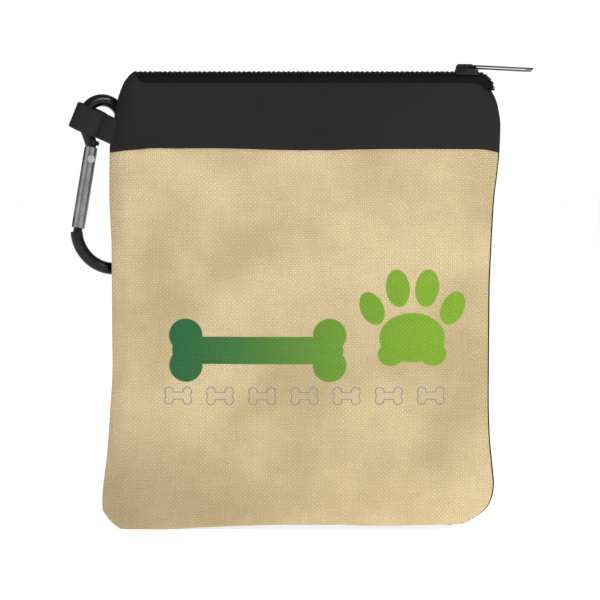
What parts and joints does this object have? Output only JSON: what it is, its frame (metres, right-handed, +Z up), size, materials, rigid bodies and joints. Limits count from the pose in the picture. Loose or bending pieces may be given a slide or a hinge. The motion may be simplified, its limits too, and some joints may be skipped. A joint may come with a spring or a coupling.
{
  "type": "treat pouch",
  "caption": "Zip-top cloth pouch with a canvas front, a dark band along its top and a spring-gate clip hanging from a ribbon loop at its side seam.",
  "frame": {"origin": "middle of the flat base", "axes": "+Z up from the base to the zip, -Y out of the canvas front, +X towards the end where the closed zip's slider rests; the clip hangs at -X"},
  "size_m": [0.1522, 0.0201, 0.1536],
  "materials": {
    "canvas": "plain-woven cotton canvas, natural",
    "band_cloth": "smooth near-black cloth",
    "lining": "wipe-clean coated cloth, dark grey",
    "binding": "narrow woven tape",
    "zip_tape": "woven polyester tape",
    "zip_coil": "black nylon coil",
    "thread": "black sewing thread",
    "slider_enamel": "black enamel",
    "pull_metal": "gunmetal grey",
    "ribbon": "dark woven ribbon",
    "clip_enamel": "black enamel, slight gloss",
    "gate_metal": "bare aluminium",
    "spring_steel": "bright steel",
    "brass": "plain"
  },
  "bodies": {
    "pouch": {"back_panel": "band_cloth", "lining_back": "lining", "side_binding_left": "binding", "side_binding_right": "binding", "bottom_binding": "binding", "tape_back": "zip_tape", "coil_back": "zip_coil", "filler_cord_back": "zip_tape", "zip_end_tacks": "thread"},
    "front": {"front_canvas": "canvas", "front_band": "band_cloth", "lining_front": "lining", "tape_front": "zip_tape", "coil_front": "zip_coil", "filler_cord_front": "zip_tape"},
    "slider": {"slider_body": "slider_enamel", "slider_cap": "slider_enamel"},
    "lock_pin": {"slider_lock_spring": "spring_steel"},
    "pull": {"pull_tab": "pull_metal"},
    "side_loop": {"side_loop": "ribbon"},
    "clip": {"clip_frame": "clip_enamel", "gate_rivet": "spring_steel"},
    "gate": {"clip_gate": "gate_metal", "gate_spring": "spring_steel"},
    "plunger": {"gate_plunger": "brass"}
  },
  "joints": [
    {"name": "zip_slide", "type": "slide", "parent": "pouch", "child": "slider", "axis": [1, 0, 0], "range_m": [-0.104, 0]},
    {"name": "mouth_open", "type": "hinge", "parent": "pouch", "child": "front", "pos_m": [0, -0.0045, 0], "axis": [1, 0, 0], "range_deg": [0, 10], "deforming": ["coil_front", "tape_front", "filler_cord_front"]},
    {"name": "pull_swing", "type": "hinge", "parent": "slider", "child": "pull", "pos_m": [0.0558, 0, 0.15285], "axis": [0, -1, 0], "range_deg": [0, 180]},
    {"name": "lock_lift", "type": "slide", "parent": "slider", "child": "lock_pin", "axis": [0, 0, 1], "range_m": [0, 0.0004]},
    {"name": "loop_flex", "type": "hinge", "parent": "pouch", "child": "side_loop", "pos_m": [-0.0635, 0, 0.1329], "axis": [0, 0, 1], "range_deg": [0, 75], "deforming": ["side_loop"]},
    {"name": "clip_swing", "type": "hinge", "parent": "side_loop", "child": "clip", "pos_m": [-0.07113, 0.00162, 0.13516], "axis": [-0.3665, 0.9304, 0], "range_deg": [-8, 35]},
    {"name": "gate_open", "type": "hinge", "parent": "clip", "child": "gate", "pos_m": [-0.06955, 0.00224, 0.12287], "axis": [0.3665, -0.9304, 0], "range_deg": [0, 28], "stiffness_Nm_per_rad": 0.05, "springref_deg": -28.65},
    {"name": "plunger_push", "type": "slide", "parent": "gate", "child": "plunger", "axis": [-0.161, -0.0634, -0.9849], "range_m": [0, 0.0005], "deforming": ["gate_spring"]}
  ],
  "couplings": [
    {"joint": "mouth_open", "follows": "zip_slide", "rad_per_m": -1.678},
    {"joint": "lock_lift", "follows": "pull_swing", "m_per_rad": 0.000127},
    {"joint": "plunger_push", "follows": "gate_open", "m_per_rad": 0.001023}
  ]
}
